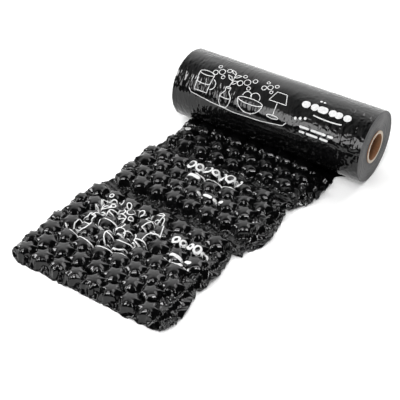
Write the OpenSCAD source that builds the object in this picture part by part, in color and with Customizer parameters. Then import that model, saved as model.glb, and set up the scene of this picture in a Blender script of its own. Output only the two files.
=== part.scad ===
// Roll of inflatable cushioning film on a cardboard core, with its first half metre blown up into air bubbles.
// The bore of the core runs along X through the origin. The film leaves the bottom of the roll towards -Y.

/* [Cardboard core] */
// Inner diameter of the core tube
core_bore_d = 51; // [38:0.5:77]
// Wall of the core tube
core_wall = 5.5; // [2:0.5:8]
// How far the core stands out of the film at each end
core_proud = 1; // [0.5:0.5:6]
// Radial gap between the core and the first turn of film
core_fit = 0.05; // [0.02:0.01:0.2]

/* [Wound film] */
// Width of the flat film, which is the length of the roll
film_w = 400; // [380:5:600]
// Outer diameter of the wound film
roll_d = 136; // [110:1:160]
// Depth of the flat spot on which the soft roll lies
flat_spot = 0.3; // [0.1:0.1:1.5]
// Bands of turns that stand in and out on the end faces, bore to rim
turn_bands = 12; // [4:2:16]
// How far one band of turns stands out beyond the next
turn_step = 0.5; // [0.1:0.1:2]

/* [Bubbles] */
// Bubbles in a row across the web
bubbles_across = 8; // [5:1:9]
// Rows of bubbles on each sheet between perforations, from the roll outwards
rows_per_sheet = [3, 4, 7]; // [1:1:9]
// Distance between bubbles in a row
bubble_pitch = 36; // [35:0.5:38]
// Distance between rows
row_pitch = 31.5; // [28:0.5:40]
// Diameter of the round seal of a bubble
bubble_d = 34.8; // [24:0.2:38]
// Diameter of the squeezed bubble at the left end of every second row
edge_bubble_d = 25; // [12:0.5:27]
// Thickness of a blown bubble, from the floor to its top
bubble_h = 24; // [14:0.5:30]

/* [Web] */
// Thickness of the sealed film between the bubbles
seal_t = 1; // [0.6:0.1:2]
// Distance between the first row and the place where the roll comes down to bubble height
roll_gap = 5; // [2:0.5:30]
// Extra length between the rows on both sides of each perforation
crease_w = [22.5, 28.5]; // [8:0.5:40]
// How far a perforation runs forward on its way across the channel
crease_skew = 30; // [0:1:40]
// Bare film in front of the last row
front_flap = 22; // [19:1:50]
// Sealed edge on the left of the bubbles
left_seal = 5; // [2:1:24]
// How far the left edge draws in at the rows that lie to the right
left_tuck = 8; // [0:1:14]
// Flat inflation channel on the right of the bubbles, at its narrowest
channel_w = 12; // [6:1:40]
// How far the channel bulges on each stretch between two notches
channel_lobes = [19, 19, 12, 16]; // [0:1:40]
// How far forward on its stretch a bulge is fullest, where 1 is halfway
lobe_lean = 1.3; // [1:0.1:2]
// Sideways place of each sheet against the middle of the roll
sheet_shift = [-30, -43, -58]; // [-60:1:60]
// Radius of the two front corners
corner_r = 14; // [2:1:30]
// Height of the ruffles along the channel edge and the front edge
ruffle_h = 4; // [0:0.5:8]
// Distance between ruffles
ruffle_pitch = 27; // [20:1:60]

/* [Hidden] */
$fn = 96;

roll_r = roll_d / 2;
core_r = core_bore_d / 2 + core_wall;
film_bore_r = core_r + core_fit;
floor_z = flat_spot - roll_r;

bubble_r = bubble_d / 2;
edge_bubble_r = edge_bubble_d / 2;
edge_bubble_h = bubble_h * edge_bubble_d / bubble_d;
half_h = bubble_h / 2;
half_seal = seal_t / 2;

first_crease = rows_per_sheet[0];
second_crease = first_crease + rows_per_sheet[1];
rows = second_crease + rows_per_sheet[2];

function smooth(t) = let (s = max(0, min(1, t))) s * s * (3 - 2 * s);
function mix(a, b, t) = a + (b - a) * t;

// Rows and perforations, as distances y from the axis of the roll towards -Y
function creases_before(k) = (k >= first_crease ? 1 : 0) + (k >= second_crease ? 1 : 0);
function crease_length(k) = (k >= first_crease ? crease_w[0] : 0) + (k >= second_crease ? crease_w[1] : 0);
first_row = sqrt(pow(roll_r, 2) - pow(max(0, roll_r - bubble_h), 2)) + roll_gap;
function row_y(k) = first_row + k * row_pitch + crease_length(k);
function crease_y(k) = (row_y(k - 1) + row_y(k)) / 2;
crease_lines = [crease_y(first_crease), crease_y(second_crease)];
front_y = row_y(rows - 1) + front_flap;
lead_y = first_row - row_pitch / 2;
// Rows lie half a pitch apart sideways by turns, and a perforation takes the place of one row
function lies_right(k) = (k + creases_before(k)) % 2 == 1;

// The web moves sideways at each perforation
function past(y, line) = smooth((y - line) / (2 * row_pitch) + 0.5);
function field_x(y) = sheet_shift[0]
    + (sheet_shift[1] - sheet_shift[0]) * past(y, crease_lines[0])
    + (sheet_shift[2] - sheet_shift[1]) * past(y, crease_lines[1]);
field_right = (bubbles_across + 0.5) * bubble_pitch / 2;
second_bubble = (bubbles_across / 2 - 1.25) * bubble_pitch;
field_left = second_bubble + bubble_r + edge_bubble_d;

// Long edges of the web. The flat lead narrows from the full film to the blown web.
function lead_in(y) = smooth(y / lead_y);
notches = [0, crease_lines[0] + crease_skew, crease_lines[1] + crease_skew,
    mix(crease_lines[1] + crease_skew, front_y, 0.5), front_y];
function bulge(t) = sqrt(max(0, sin(180 * pow(t, lobe_lean))));
function lobe(y, i = 0) = i >= len(channel_lobes) - 1 || y <= notches[i + 1]
    ? channel_lobes[i] * bulge((y - notches[i]) / (notches[i + 1] - notches[i]))
    : lobe(y, i + 1);
function rows_off(y, k) = (k == rows - 1 ? max(0, row_y(k) - y) : abs(y - row_y(k))) / row_pitch;
function tuck(y) = left_tuck * max([0, for (k = [0:rows - 1]) if (lies_right(k)) smooth(1 - rows_off(y, k))]);
function corner(y) = corner_r * (1 - sqrt(1 - pow(max(0, (y - front_y) / corner_r + 1), 2)));
function left_x(y) = corner(y)
    + mix(-film_w / 2 + 2 * turn_step, field_x(y) - field_left - left_seal + tuck(y), lead_in(y));
function right_x(y) = -corner(y)
    + mix(film_w / 2 - 2 * turn_step, field_x(y) + field_right + channel_w + lobe(y), lead_in(y));

// Height of the weld plane above the floor: level with the middle of the bubbles, and lower at creases and edges
function dip(y, i, depth) = depth * exp(-pow((y - crease_lines[i]) / crease_w[i], 2));
function weld_along(y) = mix(half_seal, half_h, smooth((y - lead_y) / (row_pitch / 2)))
    - dip(y, 0, half_h * 0.55)
    - dip(y, 1, half_h * 0.75);
function ruffle(x, y) = ruffle_h * (1 + sin(360 * (x + y) / ruffle_pitch)) / 2;
function weld_height(x, y) = let (
    beside = x - field_x(y),
    right = (beside - field_right) / channel_w,
    left = (-beside - field_left) / left_seal,
    front = (y - row_y(rows - 1)) / front_flap,
    along = weld_along(y - crease_skew * smooth(right)),
    loose = smooth(max(right, front)) * smooth(y / lead_y - 1))
    mix(max(half_seal, along), half_seal + loose * ruffle(x, y), smooth(max(right, left, 1.6 * front - 0.6)));

// Half thickness of the film: a blown cap over each bubble, and the seal between them
function cap(dx, dy, r, h) = h * pow(max(0, 1 - (dx * dx + dy * dy) / (r * r)), 0.6);
function row_puff(k, x, dy) = let (
    from_first = x - field_x(row_y(k)) + ((bubbles_across - 1) / 2 + (lies_right(k) ? -0.25 : 0.25)) * bubble_pitch,
    full = lies_right(k) ? 0 : 1,
    i = max(full, min(bubbles_across - 1, round(from_first / bubble_pitch))),
    edge = x - field_x(row_y(k)) + field_left - edge_bubble_r)
    max(full * cap(edge, dy, edge_bubble_r, edge_bubble_h / 2), cap(from_first - i * bubble_pitch, dy, bubble_r, half_h));
function puff(x, y) = max([half_seal, for (k = [0:rows - 1])
    if (abs(y - row_y(k)) < bubble_r) row_puff(k, x, y - row_y(k))]);

// Grid of the web: columns across and stations along, with lines through the middle of every bubble
per_bubble = 6;
per_row = 5;
lead_steps = 3;
crease_steps = 2;
left_columns = 2;
right_columns = 3;
field_columns = (bubbles_across + 0.5) * per_bubble - left_columns;
columns = left_columns + field_columns + right_columns;
function steps_between(a, b, n) = [for (m = [1:n]) mix(a, b, m / (n + 1))];
reach = row_pitch * (per_row - 1) / (2 * per_row);
blown_stations = [for (k = [0:rows - 1]) each concat(
    k > 0 && creases_before(k) > creases_before(k - 1)
        ? steps_between(row_y(k - 1) + reach, row_y(k) - reach, crease_steps) : [],
    [for (m = [0:per_row - 1]) row_y(k) - reach + m * row_pitch / per_row])];
front_steps = 3 + (lead_steps + len(blown_stations) + 1) % 2;
stations = concat(
    [for (m = [0:lead_steps - 1]) lead_y * m / lead_steps],
    blown_stations,
    steps_between(row_y(rows - 1) + reach, front_y, front_steps),
    [front_y]);
steps = len(stations) - 1;

closest = left_seal / 4;
function even_column(i) = (i - left_columns - field_columns) * bubble_pitch / per_bubble + field_right;
function column_x(i, y) = i > columns - right_columns
    ? mix(field_x(y) + field_right, right_x(y), (i - columns + right_columns) / right_columns)
    : i == 0 ? left_x(y) : max(left_x(y) + i * closest, field_x(y) + even_column(i));
grid = [for (y = stations) [for (i = [0:columns]) [column_x(i, y), y]]];
welds = [for (line = grid) [for (p = line) weld_height(p[0], p[1])]];
puffs = [for (line = grid) [for (p = line) puff(p[0], p[1])]];

function top_point(i, j) = [grid[j][i][0], -grid[j][i][1], floor_z + welds[j][i] + puffs[j][i]];
// The underside has half the lines, each as low as the film beside it, so it stays under the top
function low_point(i, j) = [grid[j][i][0], -grid[j][i][1], floor_z + max(0, min([
    for (b = [max(0, j - 1):min(steps, j + 1)]) for (a = [max(0, i - 1):min(columns, i + 1)])
        welds[b][a] - puffs[b][a]]))];

// Corners of the web's outline, clockwise from above, as places in the grid
rim = concat(
    [for (i = [0:columns - 1]) [i, 0]],
    [for (j = [0:steps - 1]) [columns, j]],
    [for (i = [columns:-1:1]) [i, steps]],
    [for (j = [steps:-1:1]) [0, j]]);

module web() {
    top_count = (columns + 1) * (steps + 1);
    points = concat(
        [for (j = [0:steps]) for (i = [0:columns]) top_point(i, j)],
        [for (j = [0:2:steps]) for (i = [0:2:columns]) low_point(i, j)]);
    function top(p) = p[1] * (columns + 1) + p[0];
    function low(p) = top_count + p[1] / 2 * (columns / 2 + 1) + p[0] / 2;
    top_faces = [for (j = [0:steps - 1]) for (i = [0:columns - 1]) each [
        [top([i, j]), top([i + 1, j]), top([i + 1, j + 1])],
        [top([i, j]), top([i + 1, j + 1]), top([i, j + 1])]]];
    low_faces = [for (j = [0:2:steps - 2]) for (i = [0:2:columns - 2]) each [
        [low([i, j]), low([i + 2, j + 2]), low([i + 2, j])],
        [low([i, j]), low([i, j + 2]), low([i + 2, j + 2])]]];
    wall_faces = [for (m = [0:2:len(rim) - 2]) let (next = rim[(m + 2) % len(rim)]) each [
        [top(rim[m + 1]), top(rim[m]), low(rim[m])],
        [low(next), top(rim[m + 1]), low(rim[m])],
        [top(next), top(rim[m + 1]), low(next)]]];
    polyhedron(points, concat(top_faces, low_faces, wall_faces));
}

// Half section of the wound turns, from the bore outwards, with bands that stand in and out at both ends
module turns_section() {
    band = (roll_r - film_bore_r) / turn_bands;
    right = [for (i = [0:turn_bands - 1]) each [
        [film_bore_r + i * band, film_w / 2 - (i % 2) * turn_step],
        [film_bore_r + (i + 1) * band, film_w / 2 - (i % 2) * turn_step]]];
    left = [for (i = [len(right) - 1:-1:0]) [right[i][0], -right[i][1]]];
    polygon(concat(right, left));
}

module wound_turns() {
    difference() {
        rotate([0, 90, 0]) rotate_extrude() turns_section();
        translate([-film_w, -roll_r, floor_z - roll_r]) cube([film_w * 2, roll_d, roll_r]);
    }
}

module film() {
    color([0.05, 0.05, 0.055]) union() {
        wound_turns();
        web();
    }
}

module core() {
    length = film_w + 2 * core_proud;
    color([0.72, 0.55, 0.38]) rotate([0, 90, 0]) difference() {
        cylinder(h = length, r = core_r, center = true);
        cylinder(h = length + 2, r = core_bore_d / 2, center = true);
    }
}

film();
core();
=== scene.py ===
"""Looks of the air pillow film roll: puckered film, wound turns, core, print and studio."""

import math

import bmesh
import bpy
import numpy as np
from mathutils import Matrix, Vector, noise
from mathutils.bvhtree import BVHTree


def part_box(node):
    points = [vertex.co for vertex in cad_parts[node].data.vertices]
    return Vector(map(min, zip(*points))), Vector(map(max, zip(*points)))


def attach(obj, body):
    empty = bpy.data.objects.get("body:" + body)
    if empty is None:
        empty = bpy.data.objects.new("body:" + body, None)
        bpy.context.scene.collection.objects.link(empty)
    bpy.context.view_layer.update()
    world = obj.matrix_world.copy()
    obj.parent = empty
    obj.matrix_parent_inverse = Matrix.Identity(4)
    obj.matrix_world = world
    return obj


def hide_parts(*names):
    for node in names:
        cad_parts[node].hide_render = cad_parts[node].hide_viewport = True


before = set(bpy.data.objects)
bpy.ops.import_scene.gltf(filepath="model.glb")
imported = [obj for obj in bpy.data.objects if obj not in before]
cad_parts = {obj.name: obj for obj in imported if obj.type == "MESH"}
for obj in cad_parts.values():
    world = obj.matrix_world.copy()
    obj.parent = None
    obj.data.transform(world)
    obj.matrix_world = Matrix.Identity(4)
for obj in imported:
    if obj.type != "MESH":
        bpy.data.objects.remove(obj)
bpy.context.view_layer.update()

# Lengths are in millimetres up to the point where a mesh is made
MM = 0.001

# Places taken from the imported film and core
film_low, film_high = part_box("film")
core_low, core_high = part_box("core")
HALF_WIDTH = film_high.x / MM
ROLL_R = film_high.z / MM
FLOOR = film_low.z / MM
CORE_R = core_high.z / MM
CORE_HALF = core_high.x / MM
FRONT = -film_low.y / MM

# Bubble lattice, with the same sizes as the CAD part
BUBBLES_ACROSS = 8
ROWS_PER_SHEET = (3, 4, 7)
PITCH = 36.0
ROW_PITCH = 31.5
BUBBLE_R = 17.4
EDGE_BUBBLE_R = 12.5
BUBBLE_H = 24.0
ROLL_GAP = 5.0
CREASE_W = (22.5, 28.5)
CREASE_DEPTH = (0.55, 0.75)
CREASE_SKEW = 30.0
FRONT_FLAP = 22.0
LEFT_SEAL = 5.0
LEFT_TUCK = 8.0
CHANNEL_W = 12.0
CHANNEL_LOBES = (19.0, 19.0, 12.0, 16.0)
LOBE_LEAN = 1.3
SHEET_SHIFT = (-30.0, -43.0, -58.0)
CORNER_R = 14.0
RUFFLE_H = 4.0
RUFFLE_PITCH = 27.0
FILM_T = 0.4
FLOOR_GAP = 0.1

HALF_H = BUBBLE_H / 2
ROWS = sum(ROWS_PER_SHEET)
FIRST_CREASE = ROWS_PER_SHEET[0]
SECOND_CREASE = FIRST_CREASE + ROWS_PER_SHEET[1]


def smooth(t):
    s = np.clip(t, 0.0, 1.0)
    return s * s * (3 - 2 * s)


def mix(a, b, t):
    return a + (b - a) * t


def creases_before(k):
    return int(k >= FIRST_CREASE) + int(k >= SECOND_CREASE)


def row_y(k):
    first = math.sqrt(ROLL_R**2 - (ROLL_R - BUBBLE_H) ** 2) + ROLL_GAP
    return first + k * ROW_PITCH + sum(CREASE_W[: creases_before(k)])


def lies_right(k):
    return (k + creases_before(k)) % 2 == 1


CREASES = [(row_y(k - 1) + row_y(k)) / 2 for k in (FIRST_CREASE, SECOND_CREASE)]
LEAD = row_y(0) - ROW_PITCH / 2
FIELD_RIGHT = (BUBBLES_ACROSS + 0.5) * PITCH / 2
FIELD_LEFT = (BUBBLES_ACROSS / 2 - 1.25) * PITCH + BUBBLE_R + 2 * EDGE_BUBBLE_R
NOTCHES = [0, CREASES[0] + CREASE_SKEW, CREASES[1] + CREASE_SKEW,
           (CREASES[1] + CREASE_SKEW + FRONT) / 2, FRONT]


def field_x(y):
    """Middle of the bubbles at y. Each sheet lies further to the left than the last."""
    def past(line):
        return smooth((y - line) / (2 * ROW_PITCH) + 0.5)
    a, b, c = SHEET_SHIFT
    return a + (b - a) * past(CREASES[0]) + (c - b) * past(CREASES[1])


def bubbles():
    """Centre x, centre y and radius of every bubble."""
    for k in range(ROWS):
        middle = field_x(row_y(k))
        shift = 0.25 if lies_right(k) else -0.25
        for i in range(BUBBLES_ACROSS):
            x = middle + (i - (BUBBLES_ACROSS - 1) / 2 + shift) * PITCH
            if i == 0 and not lies_right(k):
                yield middle - FIELD_LEFT + EDGE_BUBBLE_R, row_y(k), EDGE_BUBBLE_R
            else:
                yield x, row_y(k), BUBBLE_R


def channel_edge(y):
    """How far the inflation channel bulges to the right at y."""
    lobe = np.zeros_like(y)
    for size, start, end in zip(CHANNEL_LOBES, NOTCHES, NOTCHES[1:]):
        t = np.clip((y - start) / (end - start), 0, 1)
        here = (y >= start) & (y <= end)
        lobe += here * size * np.sqrt(np.maximum(0, np.sin(np.pi * t**LOBE_LEAN)))
    return lobe


def corner(y):
    """How far the rounded front corners draw the long edges in at y."""
    return CORNER_R * (1 - np.sqrt(1 - np.maximum(0, (y - FRONT) / CORNER_R + 1) ** 2))


def web_left(y):
    tuck = np.zeros_like(y)
    for k in filter(lies_right, range(ROWS)):
        off = row_y(k) - y if k == ROWS - 1 else abs(y - row_y(k))
        tuck = np.maximum(tuck, LEFT_TUCK * smooth(1 - np.maximum(0, off) / ROW_PITCH))
    blown = field_x(y) - FIELD_LEFT - LEFT_SEAL + tuck
    return corner(y) + mix(-HALF_WIDTH + 1, blown, smooth(y / LEAD))


def web_right(y):
    blown = field_x(y) + FIELD_RIGHT + CHANNEL_W + channel_edge(y)
    return mix(HALF_WIDTH - 1, blown, smooth(y / LEAD)) - corner(y)


def weld_height(x, y):
    """Height of the welds above the floor: half a bubble up, lower at creases and free edges."""
    beside = x - field_x(y)
    right = (beside - FIELD_RIGHT) / CHANNEL_W
    left = (-beside - FIELD_LEFT) / LEFT_SEAL
    front = (y - row_y(ROWS - 1)) / FRONT_FLAP
    along_y = y - CREASE_SKEW * smooth(right)
    along = HALF_H * smooth((along_y - LEAD) / (ROW_PITCH / 2))
    for line, width, depth in zip(CREASES, CREASE_W, CREASE_DEPTH):
        along = along - depth * HALF_H * np.exp(-(((along_y - line) / width) ** 2))
    loose = smooth(np.maximum(right, front)) * smooth(y / LEAD - 1)
    ruffle = loose * RUFFLE_H * (1 + np.sin(2 * np.pi * (x + y) / RUFFLE_PITCH)) / 2
    edge = smooth(np.maximum(np.maximum(right, left), 2.4 * front - 1.4))
    return mix(np.maximum(along, 0), ruffle, edge)


def noise_field(x, y, scale_x, scale_y, seed):
    """Smooth noise from about -1 to 1, with features of the given sizes in millimetres."""
    flat = zip(np.ravel(x) / scale_x, np.ravel(y) / scale_y)
    values = [noise.noise((u, v, seed)) for u, v in flat]
    return np.reshape(values, np.shape(x))


def creased(field):
    """Turns smooth noise into sharp folds, 0 in the folds and up to 1 between them."""
    return np.minimum(1, np.abs(field) * 4)


FACET_TABLE = 61


def facets(x, y, long_x, long_y, seed):
    """Flat triangles of the given sizes that meet in sharp creases, from -1 to 1 at the corners."""
    heights = np.random.RandomState(seed).uniform(-1, 1, (FACET_TABLE, FACET_TABLE))

    def corner_height(i, j):
        return heights[i % FACET_TABLE, j % FACET_TABLE]

    u = x / long_x + 0.4 * noise_field(x, y, 1.6 * long_x, 1.6 * long_y, seed + 0.5)
    v = y / long_y + 0.4 * noise_field(x, y, 1.6 * long_x, 1.6 * long_y, seed + 3.5)
    i, j = np.floor(u).astype(int), np.floor(v).astype(int)
    u, v = u - i, v - j
    start, end = corner_height(i, j), corner_height(i + 1, j + 1)
    beside = np.where(u > v, corner_height(i + 1, j), corner_height(i, j + 1))
    long, short = np.maximum(u, v), np.minimum(u, v)
    return start + long * (beside - start) + short * (end - beside)


# Star of a blown bubble: how far its sides and arms reach, and the pleats round its wall
SIDE_REACH = 17.4
ARM_EXTRA = 2.4
PLEATS = 17
PLEAT_DEPTH = 0.9
# Its profile from the middle to the edge: a crowned top, a facet and a steep wall
PROFILE_OUT = (0, 0.2, 0.45, 0.68, 0.88, 0.95, 1.0)
PROFILE_HIGH = (1, 0.985, 0.92, 0.76, 0.53, 0.38, 0)
NEAR_BUBBLE = 45
# Valleys between bubbles, and the corners of film that stand out before the notches
VALLEY_DEPTH = 4.0
VALLEY_W = 3.0
LOOSE_CORNERS = (4.0, 9.0)
LOOSE_CORNER_W = 4.5
# Grid of the web: rows from WEB_START at the roll to the front, the last ones closer together
WEB_ROWS = 351
WEB_COLUMNS = 205
WEB_START = 4
FRONT_ROWS = 60
FRONT_DEPTH = 45.0


def star_reach(angle, n, r):
    """How far bubble n's blown film reaches: six sides, and arms towards the gaps around it."""
    wobble = [noise.noise((n * 7.3, k + 0.5, 0.5)) for k in range(6)]
    sixth = np.pi / 3
    turned = angle + 0.5 * wobble[0]
    off_side = abs((turned + sixth / 2) % sixth - sixth / 2)
    arm = (1 + 0.9 * wobble[1] * np.cos(turned + 9 * wobble[2])
           + 0.9 * wobble[4] * np.cos(2 * turned + 9 * wobble[3]))
    reach = (SIDE_REACH / np.cos(off_side)
             + ARM_EXTRA * np.clip(arm, 0.1, 1.5) * (2 * off_side / sixth) ** 1.6)
    pleats = np.random.RandomState(n).uniform(-1, 1, PLEATS)
    pleats = np.interp(angle, np.linspace(-np.pi, np.pi, PLEATS + 1), [*pleats, pleats[0]])
    return (reach * (1 + 0.1 * wobble[5]) + PLEAT_DEPTH * pleats) * r / BUBBLE_R


def bubble_map(x, y):
    """For each point: how far inside a bubble's star it is, how far from the line between its two
    nearest bubbles, and the blown film's share of its full height."""
    inside = np.full(x.shape, -50.0)
    first = np.full(x.shape, 1e3)
    second = np.full(x.shape, 1e3)
    dome = np.zeros_like(x)
    for n, (cx, cy, r) in enumerate(bubbles()):
        near = (abs(x - cx) < NEAR_BUBBLE) & (abs(y - cy) < NEAR_BUBBLE)
        dx, dy = x[near] - cx, y[near] - cy
        away = np.hypot(dx, dy)
        reach = star_reach(np.arctan2(dy, dx), n, r)
        inside[near] = np.maximum(inside[near], reach - away)
        tilt = 0.05 * (noise.noise((n, 4.5, 1.5)) * dx + noise.noise((n, 8.5, 1.5)) * dy) / r
        high = 1 + 0.1 * noise.noise((n, 1.5, 6.5)) + tilt * 4
        shoulder = 1 + 0.3 * noise.noise((n, 3.5, 2.5))
        star = high * np.interp((away / reach) ** shoulder, PROFILE_OUT, PROFILE_HIGH)
        dome[near] = np.maximum(dome[near], r / BUBBLE_R * star)
        away = away + BUBBLE_R - r
        second[near] = np.minimum(second[near], np.maximum(first[near], away))
        first[near] = np.minimum(first[near], away)
    return inside, (second - first) / 2, dome


def web_grid():
    """Plan of the web: rows of points from the roll to the front, each from left to right."""
    marks = (0, WEB_ROWS - 1 - FRONT_ROWS, WEB_ROWS - 1)
    places = np.interp(np.arange(WEB_ROWS), marks, (WEB_START, FRONT - FRONT_DEPTH, FRONT))
    y, share = np.meshgrid(places, np.linspace(0, 1, WEB_COLUMNS), indexing="ij")
    ragged = 1.6 * noise_field(share, y, 1, 11, 4.5) + 0.9 * noise_field(share, y, 1, 4.5, 6.5)
    left = web_left(y) - ragged * smooth(y / LEAD) + 0.8
    right = web_right(y) + 1.5 * ragged * smooth(y / LEAD) - 1.2
    for line, tab in zip(NOTCHES[1:3], LOOSE_CORNERS):
        right += tab * np.exp(-(((y - line + 7) / LOOSE_CORNER_W) ** 2))
    return mix(left, right, share), y


def ridges(x, y, long_x, long_y, seed, power=1):
    """Crests and sharp folds between -1 and 1, drawn out to the given lengths. The crests are
    sharp with a power of 1, and rounded with 2."""
    crest = 1 - creased(noise_field(x, y, long_x, long_y, seed)) ** power
    fold = 1 - creased(noise_field(x + 50, y, long_x * 0.8, long_y * 0.8, seed + 2))
    return crest - fold


def web_rest(x, y, inside, line):
    """Height of the sealed film: welds, sunk between bubbles, and loose film with creases."""
    beside = x - field_x(y)
    sunk = VALLEY_DEPTH * np.clip(1 - line / VALLEY_W, 0, 1) * smooth((inside + 25) / 12)
    high = np.minimum(weld_height(x, y), HALF_H)
    side = smooth((np.maximum(beside - FIELD_RIGHT, -beside - FIELD_LEFT) + 1) / 7)
    front = smooth((y - row_y(ROWS - 1) - BUBBLE_R / 2) / 7) * (1 - side)
    out = np.maximum(beside - FIELD_RIGHT + 12, 0) - np.maximum(-beside - FIELD_LEFT, 0)
    skew = y - (0.4 + 0.8 * noise_field(x, y, 400, 38, 9.5)) * out
    swells = 3.8 * ridges(x, skew, 70, 14, 5.5, power=2)
    creases = side * (2.6 + swells + 0.8 * facets(x, skew, 30, 9, 5))
    creases += front * 3.0 * facets(x, y, 6, 12, 3)
    crumple = 1.5 * facets(x, y, 8, 8, 1) + 0.7 * facets(x, y, 4.5, 4.5, 7)
    crumple = crumple * (1 - 0.75 * side)
    away = smooth(y / LEAD - 0.5)
    return FLOOR + high + away * (crumple + creases - np.minimum(sunk, high * 0.5))


def grid_faces(rows, columns, start=0, flip=False, wrap=False):
    """Quads of a grid of points in row order. With wrap, the last column joins the first."""
    faces = []
    for j in range(rows - 1):
        for i in range(columns if wrap else columns - 1):
            a = start + j * columns + i
            b = start + j * columns + (i + 1) % columns
            quad = (a, b, b + columns, a + columns)
            faces.append(quad[::-1] if flip else quad)
    return faces


def mesh_piece(name, points, faces, materials, face_materials=None):
    """Makes a piece from points in millimetres, with its object at the origin."""
    mesh = bpy.data.meshes.new(name)
    mesh.from_pydata((np.reshape(points, (-1, 3)) * MM).tolist(), [], faces)
    for material in materials:
        mesh.materials.append(material)
    if face_materials is not None:
        mesh.polygons.foreach_set("material_index", face_materials)
    mesh.polygons.foreach_set("use_smooth", [True] * len(mesh.polygons))
    mesh.update()
    piece = bpy.data.objects.new(name, mesh)
    bpy.context.scene.collection.objects.link(piece)
    return piece


def grid_rim(rows, columns):
    """Places of the border points of a grid in row order, all the way round."""
    rim = [j * columns for j in range(rows - 1)]
    rim += [(rows - 1) * columns + i for i in range(columns - 1)]
    rim += [j * columns + columns - 1 for j in range(rows - 1, 0, -1)]
    return rim + list(range(columns - 1, 0, -1))


def film_web(material):
    """The blown web: an upper and a lower film, joined all round."""
    x, y = web_grid()
    inside, line, dome = bubble_map(x, y)
    rest = web_rest(x, y, inside, line)
    tight = smooth(dome * 2 - 0.3)
    blown = mix(rest, FLOOR + HALF_H + 0.35 * facets(x, y, 13, 11, 11), tight) + HALF_H * dome
    wall = smooth((y - row_y(ROWS - 1) - 4) / 7)
    folded = y + wall * (1.8 * facets(x, y, 5.5, 30, 13) + 0.8 * noise_field(x, y, 40, 60, 2.5) - 1)
    upper = np.stack([x, -folded, blown], axis=-1)
    lower = np.stack([x, -folded, rest - FILM_T - HALF_H * dome], axis=-1)[::2, ::2]
    lower[..., 2] = np.maximum(lower[..., 2], FLOOR + FLOOR_GAP)
    upper[..., 2] = np.maximum(upper[..., 2], FLOOR + FLOOR_GAP + FILM_T)
    faces = grid_faces(WEB_ROWS, WEB_COLUMNS, flip=True)
    count = WEB_ROWS * WEB_COLUMNS
    low_rows, low_columns = lower.shape[:2]
    faces += grid_faces(low_rows, low_columns, start=count)
    top = grid_rim(WEB_ROWS, WEB_COLUMNS)
    under = [count + place for place in grid_rim(low_rows, low_columns)]
    top.append(top[0])
    under.append(under[0])
    for k in range(len(under) - 1):
        faces.append((top[2 * k], under[k], under[k + 1], top[2 * k + 2], top[2 * k + 1]))
    points = np.concatenate([upper.reshape(-1, 3), lower.reshape(-1, 3)])
    return mesh_piece("film_web", points, faces, [material])


# Grid of the wound turns, and how far they lie within the solid
TURNS_ACROSS = 300
TURNS_ROUND = 220
END_RINGS = 64
SKIN_INSET = 0.3
RIM_INSET = 0.6
END_INSET = 0.35
# Where a weld of the turns below shows as a line round the roll
SEAM_X = 157.0
# The wrinkles mirror each other up both sides of the roll from the floor line. This far up, along
# the film, they begin to calm down to where they meet on top
CALM_FROM = 205


def roll_wrinkle(x, s):
    """How far the outer turn stands out at x along the roll and s around it, in millimetres."""
    left = smooth((-x + 20) / 150)
    right = smooth((x - 10) / 90)
    streaks = 0.34 * ridges(x + 0.15 * s, s, 4.5, 26, 1.5)
    streaks = streaks + 0.16 * ridges(x - 0.1 * s, s, 3.2, 14, 3.5)
    blotch = 0.5 * noise_field(x, s, 30, 24, 6.5) + 0.2 * facets(x, s, 16, 22, 4)
    patches = 0.34 * ridges(x + 0.7 * s, s - 0.3 * x, 15, 9, 9.5)
    seam = 0.35 * np.exp(-(((x - SEAM_X - 2 * noise_field(s, s, 40, 40, 3.5)) / 1.6) ** 2))
    return streaks * mix(0.25, 1.3, left) + blotch + patches * mix(0.12, 1.0, right) + seam


def film_roll(film, edges):
    """The wound turns: the outer surface, and end faces whose turns stand in and out."""
    turn = np.linspace(0, 2 * np.pi, TURNS_ROUND, endpoint=False)
    along = np.linspace(-HALF_WIDTH + RIM_INSET, HALF_WIDTH - RIM_INSET, TURNS_ACROSS)
    angle, x = np.meshgrid(turn, along)
    wrap = np.minimum(angle, 2 * np.pi - angle) * ROLL_R
    calm = 0.6 * smooth((wrap - CALM_FROM) / 8)
    radius = ROLL_R - SKIN_INSET + roll_wrinkle(x, wrap) * (1 - calm)
    outer = np.stack([x, -radius * np.sin(angle), -radius * np.cos(angle)], axis=-1)
    outer[..., 2] = np.maximum(outer[..., 2], FLOOR + FLOOR_GAP / 2)
    faces = grid_faces(TURNS_ACROSS, TURNS_ROUND, wrap=True)
    points = [outer.reshape(-1, 3)]
    skins = [0] * len(faces)
    for side, rim in ((-1, outer[0]), (1, outer[-1])):
        share = np.linspace(0, 1, END_RINGS)[:, None]
        rim_r = np.hypot(rim[:, 1], rim[:, 2])[None, :]
        r = mix(rim_r - 0.5, CORE_R + 0.05, share)
        steps = [noise.noise((k * 1.7, side * 9.5, 0.5)) for k in range(END_RINGS)]
        step_out = np.array(steps)[:, None]
        spiral = 0.12 * np.sin(turn[None, :] + share * 40)
        end = side * (HALF_WIDTH - END_INSET + END_INSET * step_out + spiral)
        end = np.broadcast_to(end, (END_RINGS, TURNS_ROUND))
        ring = np.stack([end, -r * np.sin(turn), -r * np.cos(turn)], axis=-1)
        ring[..., 2] = np.maximum(ring[..., 2], FLOOR + FLOOR_GAP)
        grid = np.concatenate([rim[None], ring])
        start = sum(len(p) for p in points)
        more = grid_faces(END_RINGS + 1, TURNS_ROUND, start=start, flip=side < 0, wrap=True)
        points.append(grid.reshape(-1, 3))
        faces += more
        skins += [1] * len(more)
    return mesh_piece("film_roll", np.concatenate(points), faces, [film, edges], skins)


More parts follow.
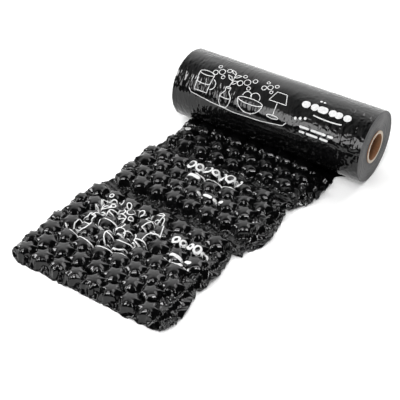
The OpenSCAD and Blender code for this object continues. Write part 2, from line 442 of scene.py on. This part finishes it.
class Nodes:
    """Short way to build the nodes of a material or a world."""

    def __init__(self, owner):
        self.owner = owner
        owner.use_nodes = True
        self.tree = owner.node_tree

    def add(self, kind, inputs=None, **settings):
        node = self.tree.nodes.new(kind)
        for key, value in settings.items():
            setattr(node, key, value)
        for key, value in (inputs or {}).items():
            self.put(node.inputs[key], value)
        return node

    def put(self, socket, value):
        if isinstance(value, bpy.types.NodeSocket):
            self.tree.links.new(value, socket)
        else:
            socket.default_value = value

    def shade(self, inputs):
        """Sets the material's shader by the names of its inputs."""
        for key, value in inputs.items():
            self.put(self.tree.nodes["Principled BSDF"].inputs[key], value)

    def place(self, scale=(1, 1, 1)):
        """The object's own coordinates in metres, stretched by scale."""
        coordinates = self.add("ShaderNodeTexCoord").outputs["Object"]
        stretched = self.add("ShaderNodeMapping", {"Vector": coordinates, "Scale": scale})
        return stretched.outputs["Vector"]

    def around_axis(self):
        """Place along the roll's axis and distance from it, in metres."""
        place = self.add("ShaderNodeSeparateXYZ", {"Vector": self.place()}).outputs
        across = self.add("ShaderNodeCombineXYZ", {"Y": place["Y"], "Z": place["Z"]}).outputs[0]
        return place["X"], self.length(across)

    def length(self, vector):
        return self.add("ShaderNodeVectorMath", {0: vector}, operation="LENGTH").outputs["Value"]

    def calc(self, operation, *values):
        return self.add("ShaderNodeMath", dict(enumerate(values)), operation=operation).outputs[0]

    def noise(self, scale, stretch=(1, 1, 1), detail=3.0, roughness=0.55, distortion=0.0):
        texture = self.add("ShaderNodeTexNoise", {
            "Vector": self.place(stretch), "Scale": scale, "Detail": detail,
            "Roughness": roughness, "Distortion": distortion})
        return texture.outputs["Fac"]

    def layers(self, radius, scale, detail):
        """Noise that changes only with the radius: turns of film, or plies of board."""
        texture = self.add("ShaderNodeTexNoise", {"W": radius, "Scale": scale, "Detail": detail},
                           noise_dimensions="1D")
        return texture.outputs["Fac"]

    def spread(self, value, low, high, start=0.3, end=0.7):
        node = self.add("ShaderNodeMapRange", {
            "Value": value, "From Min": start, "From Max": end, "To Min": low, "To Max": high})
        return node.outputs["Result"]

    def blend(self, share, a, b):
        node = self.add("ShaderNodeMix", data_type="RGBA")
        self.put(node.inputs["Factor"], share)
        self.put(node.inputs[6], a)
        self.put(node.inputs[7], b)
        return node.outputs[2]

    def bump(self, height, distance, strength=1.0, under=None):
        inputs = {"Height": height, "Distance": distance, "Strength": strength}
        if under is not None:
            inputs["Normal"] = under
        return self.add("ShaderNodeBump", inputs).outputs["Normal"]


# Colours, in pairs where a material varies from one to the other
FILM_BLACKS = (0.0009, 0.0009, 0.001, 1), (0.0024, 0.0024, 0.0026, 1)
EDGE_GREYS = (0.016, 0.016, 0.017, 1), (0.06, 0.06, 0.062, 1)
EDGE_DIRT = (0.02, 0.02, 0.021, 1)
KRAFT_BROWNS = (0.20, 0.085, 0.035, 1), (0.34, 0.16, 0.075, 1)
KRAFT_CLOUD = (0.42, 0.23, 0.12, 1)
CUT_BOARDS = (0.62, 0.50, 0.38, 1), (0.86, 0.79, 0.69, 1)
INK_WHITES = (0.62, 0.62, 0.62, 1), (0.82, 0.82, 0.82, 1)
FLOOR_WHITE = (0.86, 0.86, 0.86, 1)
WHITE = (1, 1, 1, 1)


def film_material(name, stretch):
    """Glossy black film with fine folds."""
    n = Nodes(bpy.data.materials.new(name))
    wide = n.bump(n.noise(60, stretch, detail=4, distortion=0.6), 0.0004, 0.4)
    n.shade({
        "Base Color": n.blend(n.spread(n.noise(45), 0, 1), *FILM_BLACKS),
        "Roughness": n.spread(n.noise(90, detail=4), 0.06, 0.13),
        "IOR": 1.45,
        "Normal": n.bump(n.noise(260, stretch, detail=3), 0.0001, 0.4, under=wide)})
    return n.owner


def turn_edge_material():
    """The cut edges of many turns of film, dark grey with fine rings."""
    n = Nodes(bpy.data.materials.new("film_turn_edges"))
    turns = n.layers(n.around_axis()[1], 900.0, 3.0)
    dirt = n.noise(30, detail=4)
    tint = n.blend(n.spread(turns, 0, 1), *EDGE_GREYS)
    n.shade({
        "Base Color": n.blend(n.spread(dirt, 0, 0.5), tint, EDGE_DIRT),
        "Roughness": n.spread(dirt, 0.35, 0.5),
        "Normal": n.bump(turns, 0.0004, 0.5)})
    return n.owner


def board_material():
    """Spiral-wound tube board: brown kraft inside, paler cut ends with thin plies."""
    n = Nodes(bpy.data.materials.new("core_board"))
    along, radius = n.around_axis()
    fibre = n.noise(700, (0.4, 1, 1), detail=5)
    kraft = n.blend(n.spread(fibre, 0, 1), *KRAFT_BROWNS)
    kraft = n.blend(n.spread(n.noise(60, detail=3), 0, 0.5), kraft, KRAFT_CLOUD)
    cut = n.blend(n.spread(n.layers(radius, 1100.0, 2.0), 0, 1), *CUT_BOARDS)
    at_end = n.calc("GREATER_THAN", n.calc("ABSOLUTE", along), (CORE_HALF - 0.05) * MM)
    n.shade({
        "Base Color": n.blend(at_end, kraft, cut),
        "Roughness": n.spread(fibre, 0.75, 0.95),
        "Normal": n.bump(fibre, 0.0003, 0.6)})
    return n.owner


def ink_material():
    """White ink, a little worn."""
    n = Nodes(bpy.data.materials.new("white_ink"))
    n.shade({
        "Base Color": n.blend(n.spread(n.noise(220, detail=4), 0, 1), *INK_WHITES),
        "Roughness": n.spread(n.noise(90), 0.3, 0.45)})
    return n.owner


# Widths of the printed lines, the spacing of points along and across them, and the ink's height
ROLL_LINE_W = 1.4
WEB_LINE_W = 2.0
BEAD_LINE_W = 3.8
ROUND_ENDS_FROM = 3
INK_STEP = 0.9
INK_LANE = 1.1
INK_LIFT = 0.15
# The line that the print on the roll is measured from, as an angle from straight down
BELLY_LINE = math.radians(40)
# How far the print on the web is drawn out of place, and a height above every bubble
PRINT_PULL = 3
OVER_WEB = 60


def arc(cx, cy, rx, ry, start=0, end=360, count=None):
    """Points of an ellipse's arc, angles in degrees."""
    count = count or max(6, int(abs(end - start) / 12))
    return [(cx + rx * math.cos(math.radians(a)), cy + ry * math.sin(math.radians(a)))
            for a in np.linspace(start, end, count)]


def mug(x, y, s):
    body = [(x - 14 * s, y + 16 * s), (x - 12 * s, y - 16 * s),
            (x + 12 * s, y - 16 * s), (x + 14 * s, y + 16 * s)]
    return [body, arc(x, y + 16 * s, 14 * s, 4 * s), arc(x + 14 * s, y, 9 * s, 9 * s, -80, 80),
            arc(x, y, 14 * s, 3 * s, 200, 340)]


def vase(x, y, s):
    left = [(x - 5 * s, y + 18 * s), (x - 4 * s, y + 10 * s), (x - 12 * s, y),
            (x - 11 * s, y - 12 * s), (x - 6 * s, y - 20 * s)]
    right = [(2 * x - px, py) for px, py in reversed(left)]
    stem = [(x, y + 18 * s), (x + 2 * s, y + 34 * s), (x - 1 * s, y + 52 * s)]
    leaves = []
    for k, side in enumerate((1, -1, 1, -1)):
        ly = y + (26 + 7 * k) * s
        leaves.append([(x + 1 * s, ly), (x + side * 7 * s, ly + 2 * s),
                       (x + side * 13 * s, ly + 9 * s), (x + side * 5 * s, ly + 8 * s),
                       (x + 1 * s, ly)])
    rim, belly = arc(x, y + 18 * s, 5 * s, 1.6 * s), arc(x, y, 12 * s, 3 * s, 180, 360)
    return [left + right, rim, belly, stem] + leaves


def bowl(x, y, s):
    fruit = [arc(x - 9 * s, y + 7 * s, 8 * s, 8 * s, -10, 190),
             arc(x + 6 * s, y + 8 * s, 9 * s, 9 * s, -10, 180)]
    return [arc(x, y, 24 * s, 20 * s, 180, 360), arc(x, y, 24 * s, 5 * s),
            [(x - 8 * s, y - 20 * s), (x + 8 * s, y - 20 * s)]] + fruit


def lamp(x, y, s):
    shade = [(x - 18 * s, y), (x - 10 * s, y + 20 * s), (x + 10 * s, y + 20 * s),
             (x + 18 * s, y), (x - 18 * s, y)]
    return [shade, [(x, y), (x, y - 26 * s)], arc(x, y - 28 * s, 12 * s, 3 * s)]


def rings(x, y, s):
    spots = ((0, 0, 7), (14, 9, 5), (-12, 12, 4), (9, -12, 4), (-14, -7, 6))
    return [arc(x + dx * s, y + dy * s, r * s, r * s) for dx, dy, r in spots]


def bars(x, y, widths, height, gap):
    """A row of rounded bars, as thick strokes (points, width)."""
    strokes = []
    for width in widths:
        half = height / 2
        strokes.append(([(x + half, y), (x + max(width - half, half + 0.5), y)], height))
        x += width + gap
    return strokes


def beads(x, y, sizes, gap):
    """A row of open rings of the given radii."""
    strokes = []
    for size in sizes:
        strokes.append(arc(x + size, y, size, size * 1.15))
        x += 2 * size + gap
    return strokes


def roll_art():
    """Strokes (points, width) on the roll: x along it, y up from its belly line along the film."""
    thin = [*mug(-138, 110, 1.15), *vase(-84, 97, 1.0), *bowl(-32, 104, 1.1), *lamp(20, 119, 1.0),
            *rings(-112, 141, 0.85), *rings(-54, 137, 0.9), *rings(-8, 143, 0.75),
            [(-165, 92), (-158, 84), (-110, 78), (-60, 74), (0, 76), (44, 82), (50, 90)]]
    strokes = [(points, ROLL_LINE_W) for points in thin]
    strokes += bars(64, 134, (16, 11, 20, 9, 15, 12), 14, 2.4) + bars(92, 150, (5, 4), 4, 2)
    strokes.append((arc(122, 120, 30, 3, 200, 340, 14), 2.2))
    strokes += bars(76, 92, (20, 30, 12), 4.2, 3) + bars(78, 83, (11, 24, 17), 4.2, 3)
    strokes += [(arc(64 + d, 103 + 0.3 * d, 1.4, 1.4), 2.6) for d in (0, 9, 18)]
    return strokes


def web_art():
    """Strokes (points, width) on the web, as x and y of the frame."""
    thin = [*vase(-134, -414, 1.1), *mug(-100, -388, 1.3), *bowl(-58, -414, 1.25),
            *lamp(-26, -372, 1.15), *rings(-84, -350, 1.1), *rings(-128, -345, 0.9),
            *mug(-40, -340, 0.8),
            [(-160, -436), (-140, -446), (-90, -452), (-50, -448), (-14, -440)]]
    strokes = [(points, WEB_LINE_W) for points in thin]
    wide = beads(-84, -176, (7, 6, 7.5, 5.5, 7, 7.5, 6), 3.5)
    wide += beads(18, -366, (5, 4.5, 4, 5.5, 4.5), 4)
    strokes += [(points, BEAD_LINE_W) for points in wide]
    strokes += bars(-56, -152, (6, 5), 5, 3)
    strokes.append((arc(-14, -196, 44, 4, 190, 350, 16), 3))
    strokes += bars(-70, -206, (30,), 9, 3) + bars(-22, -240, (10, 18, 22), 7, 3)
    strokes += bars(30, -412, (12, 22, 10), 6, 2.6)
    strokes += bars(34, -400, (26, 12), 5, 2.6)
    strokes.append((arc(-150, -84, 3.4, 3.4), 6))
    return strokes


def dense(points, step):
    """The same line with points no more than a step apart."""
    out = [np.array(points[0], float)]
    for a, b in zip(points, points[1:]):
        a, b = np.array(a, float), np.array(b, float)
        parts = max(1, int(math.ceil(np.linalg.norm(b - a) / step)))
        out += [a + (b - a) * k / parts for k in range(1, parts + 1)]
    return np.array(out)


def ahead_and_across(line):
    """Unit vectors along a line and to its left, at each of its points."""
    ahead = np.gradient(line, axis=0)
    ahead /= np.maximum(np.linalg.norm(ahead, axis=1, keepdims=True), 1e-9)
    return ahead, np.stack([-ahead[:, 1], ahead[:, 0]], axis=1)


def printed(name, strokes, onto, material):
    """Strokes laid on a surface: onto(u, v) gives the point there, or None off the film."""
    verts, faces = [], []
    for points, width in strokes:
        line = dense(points, INK_STEP)
        ahead, across = ahead_and_across(line)
        lanes = max(1, int(round(width / INK_LANE)))
        caps = np.ones(len(line))
        if width > ROUND_ENDS_FROM:
            first, last = line[0] - ahead[0] * width / 2, line[-1] + ahead[-1] * width / 2
            line = dense([first, *line, last], INK_STEP)
            across = ahead_and_across(line)[1]
            steps = np.linalg.norm(np.diff(line, axis=0), axis=1)
            length = np.concatenate([[0], np.cumsum(steps)])
            inset = np.clip(np.minimum(length, length[-1] - length) / (width / 2), 0.02, 1)
            caps = np.sqrt(1 - (1 - inset) ** 2)
        previous = None
        for centre, side, cap in zip(line, across, caps):
            shares = [lane / lanes - 0.5 for lane in range(lanes + 1)]
            row = [onto(*(centre + side * width * cap * share)) for share in shares]
            if any(hit is None for hit in row):
                previous = None
                continue
            start = len(verts)
            verts += row
            if previous is not None:
                faces += [(previous + k, previous + k + 1, start + k + 1, start + k)
                          for k in range(lanes)]
            previous = start
    return mesh_piece(name, np.array(verts), faces, [material])


def onto_roll(tree):
    """Film coordinates to the roll: v runs up and over from the belly line."""
    def place(u, v):
        angle = BELLY_LINE + v / ROLL_R
        outward = Vector((0, -math.sin(angle), -math.cos(angle)))
        start = Vector((u * MM, 0, 0)) + outward * (ROLL_R + 10) * MM
        hit = tree.ray_cast(start, -outward)[0]
        if hit is None:
            return None
        return np.array(hit + outward * INK_LIFT * MM) / MM
    return place


def onto_web(tree):
    """Frame coordinates to the top of the web, a little shifted as the film has drawn together."""
    def place(u, v):
        pull_x = PRINT_PULL * noise.noise((u / 30, v / 30, 4.5))
        pull_y = PRINT_PULL * noise.noise((u / 30, v / 30, 7.5))
        start = Vector((u + pull_x, v + pull_y, FLOOR + OVER_WEB)) * MM
        hit, normal = tree.ray_cast(start, Vector((0, 0, -1)))[:2]
        if hit is None:
            return None
        return np.array(hit + normal * INK_LIFT * MM) / MM
    return place


def surface_of(piece):
    shape = bmesh.new()
    shape.from_mesh(piece.data)
    tree = BVHTree.FromBMesh(shape)
    shape.free()
    return tree


def compass(azimuth, elevation):
    """Direction from degrees clockwise from straight behind the roll, and degrees of elevation."""
    azimuth, up = math.radians(azimuth), math.radians(elevation)
    return (math.sin(azimuth) * math.cos(up), math.cos(azimuth) * math.cos(up), math.sin(up))


# Half the floor's size, and how far it lies below the object, in metres
FLOOR_HALF = 20.0
FLOOR_SINK = 0.0002
# Name, compass direction, elevation, distance, width, height and radiance. All aim at LAMP_AIM
SOFTBOXES = (
    ("far_softbox", 9, 42, 2.4, 1.3, 1.8, 2.6),
    ("front_softbox", 203, 28, 2.0, 0.6, 0.9, 6),
    ("top_softbox", 148, 72, 1.9, 0.75, 0.65, 5.4),
    ("left_softbox", 245, 31, 2.0, 0.45, 0.8, 14),
    ("camera_softbox", 152, 51, 1.85, 0.5, 0.4, 20),
)
LAMP_AIM = (0, -0.2, 0)
# Compass direction and elevation of the bright part of the surroundings
BACKDROP = (-34, 25)


def studio_floor():
    """White floor that keeps the object's shadow, and glows to full white away from the object."""
    mesh = bpy.data.meshes.new("floor")
    z = FLOOR * MM - FLOOR_SINK
    corners = [(-FLOOR_HALF, -FLOOR_HALF, z), (FLOOR_HALF, -FLOOR_HALF, z),
               (FLOOR_HALF, FLOOR_HALF, z), (-FLOOR_HALF, FLOOR_HALF, z)]
    mesh.from_pydata(corners, [], [(0, 1, 2, 3)])
    floor = bpy.data.objects.new("floor", mesh)
    bpy.context.scene.collection.objects.link(floor)
    n = Nodes(bpy.data.materials.new("floor"))
    path = n.add("ShaderNodeLightPath").outputs
    seen = n.calc("MAXIMUM", path["Is Camera Ray"], path["Is Glossy Ray"])
    seen = n.calc("MAXIMUM", seen, path["Is Transmission Ray"])
    far = n.spread(n.length(n.place()), 0.2, 1.0, start=0.8, end=2.2)
    n.shade({
        "Base Color": FLOOR_WHITE,
        "Roughness": 0.9,
        "Specular IOR Level": 0.1,
        "Emission Color": WHITE,
        "Emission Strength": n.calc("MULTIPLY", seen, far)})
    mesh.materials.append(n.owner)


def studio_world():
    """Dim surroundings with a bright backdrop, a white horizon and a glow at the upper left."""
    n = Nodes(bpy.data.worlds.new("studio"))
    bpy.context.scene.world = n.owner
    direction = n.add("ShaderNodeTexCoord").outputs["Generated"]
    toward = n.add("ShaderNodeVectorMath", {0: direction, 1: compass(*BACKDROP)},
                   operation="DOT_PRODUCT")
    part = n.add("ShaderNodeSeparateXYZ", {0: direction}).outputs
    backdrop = n.spread(toward.outputs["Value"], 0.03, 1.9, start=0.55, end=0.96)
    horizon = n.spread(part["Z"], 1.0, 0.0, start=0.0, end=0.03)
    left = n.spread(part["X"], 0.5, 0.0, start=-0.42, end=-0.2)
    above = n.spread(part["Z"], 0.1, 1.0, start=0.45, end=0.62)
    upper_left = n.calc("MULTIPLY", left, above)
    strength = n.calc("MAXIMUM", n.calc("MAXIMUM", backdrop, horizon), upper_left)
    background = n.tree.nodes["Background"]
    n.put(background.inputs["Color"], WHITE)
    n.put(background.inputs["Strength"], strength)


def softbox(name, azimuth, elevation, away, width, height, radiance):
    data = bpy.data.lights.new(name, "AREA")
    data.shape = "RECTANGLE"
    data.size, data.size_y = width, height
    data.energy = radiance * math.pi * width * height
    box = bpy.data.objects.new(name, data)
    toward = Vector(compass(azimuth, elevation))
    box.location = Vector(LAMP_AIM) + toward * away
    box.rotation_euler = toward.to_track_quat("Z", "Y").to_euler()
    bpy.context.scene.collection.objects.link(box)


def studio():
    studio_floor()
    studio_world()
    for lamp_settings in SOFTBOXES:
        softbox(*lamp_settings)
    bpy.context.scene.view_settings.view_transform = "Standard"


def camera():
    """The photograph's view, fitted to the roll's outline and the web's straight lines."""
    azimuth, elevation = math.radians(34.26), math.radians(38.38)
    distance, focal_px, image_px = 1742.7, 920.9, 400
    aim_right, aim_up = -148.85, -165.4
    back = Vector((math.sin(azimuth) * math.cos(elevation),
                   -math.cos(azimuth) * math.cos(elevation),
                   math.sin(elevation)))
    right = Vector((math.cos(azimuth), math.sin(azimuth), 0))
    up = back.cross(right)
    data = bpy.data.cameras.new("camera")
    data.sensor_width = 36
    data.lens = focal_px / image_px * data.sensor_width
    view = bpy.data.objects.new("camera", data)
    place = (back * distance + right * aim_right + up * aim_up) * MM
    view.matrix_world = Matrix.Translation(place) @ Matrix((right, up, back)).transposed().to_4x4()
    bpy.context.scene.collection.objects.link(view)
    bpy.context.scene.camera = view


roll_skin = film_material("film_wound", (1.6, 0.5, 0.5))
web_skin = film_material("film_blown", (1, 1, 1))
roll = film_roll(roll_skin, turn_edge_material())
web = film_web(web_skin)
ink = ink_material()
roll_print = printed("roll_print", roll_art(), onto_roll(surface_of(roll)), ink)
web_print = printed("web_print", web_art(), onto_web(surface_of(web)), ink)

for piece in (roll, web, roll_print, web_print):
    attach(piece, "root")
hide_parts("film")
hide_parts("film")
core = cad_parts["core"]
core.data.materials.clear()
core.data.materials.append(board_material())

studio()
camera()
